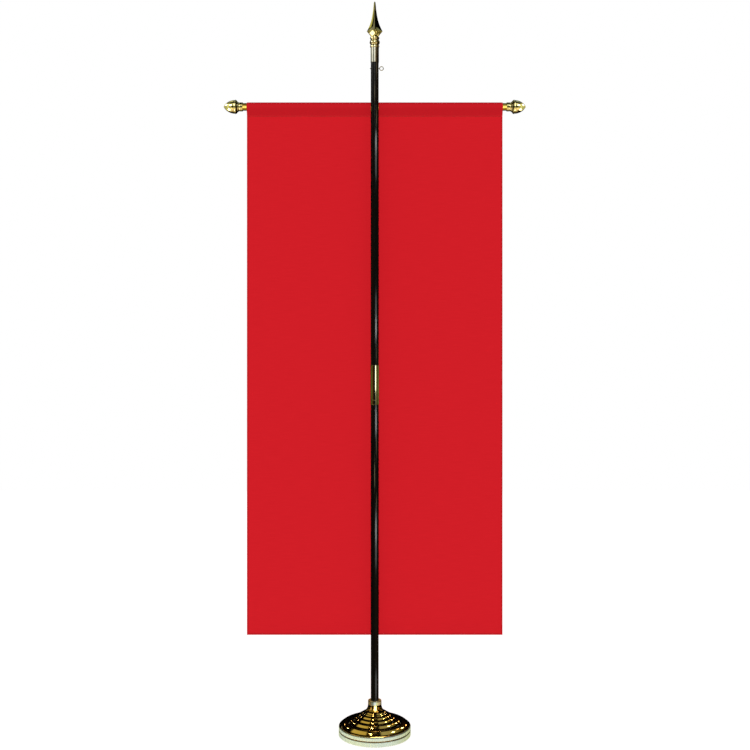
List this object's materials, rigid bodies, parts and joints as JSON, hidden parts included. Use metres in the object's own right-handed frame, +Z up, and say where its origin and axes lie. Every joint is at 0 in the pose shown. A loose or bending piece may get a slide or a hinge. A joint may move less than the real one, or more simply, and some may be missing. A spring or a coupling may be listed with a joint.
{
  "type": "gonfalon on a crossbar, pole and round base",
  "caption": "Tall hanging cloth banner on a crossbar with acorn ends, carried by a jointed pole with a spear top on a round domed base.",
  "frame": {"origin": "centre of the base's underside, on the pole's axis", "axes": "+Z up along the pole; +X along the crossbar to the right as seen from the front; -Y is the front, where the pole passes before the cloth"},
  "size_m": [1.0814, 0.255, 2.599],
  "materials": {
    "red_cloth": "plain woven red cloth, matt, with narrow stitched hems",
    "black_lacquer": "hardwood pole in gloss black lacquer",
    "polished_gold": "spun and polished brass, mirror bright",
    "pale_gold": "polished pale brass",
    "reeded_gold": "fine upright reeding in pale plated brass"
  },
  "bodies": {
    "root": {"base_body": "polished_gold", "base_lower_band": "reeded_gold", "base_gold_line": "polished_gold", "base_upper_band": "reeded_gold", "base_collar": "pale_gold", "pole_lower": "black_lacquer", "joint_ring": "pale_gold", "joint_ferrule": "pale_gold", "pole_upper": "black_lacquer", "top_ferrule": "pale_gold", "spear_bead": "pale_gold", "spear_blade": "pale_gold", "screw_eye": "pale_gold", "eye_nut": "pale_gold", "banner_cloth": "red_cloth", "crossbar": "polished_gold", "acorn_left": "pale_gold", "acorn_right": "pale_gold", "crossbar_screw": "polished_gold"}
  },
  "joints": []
}
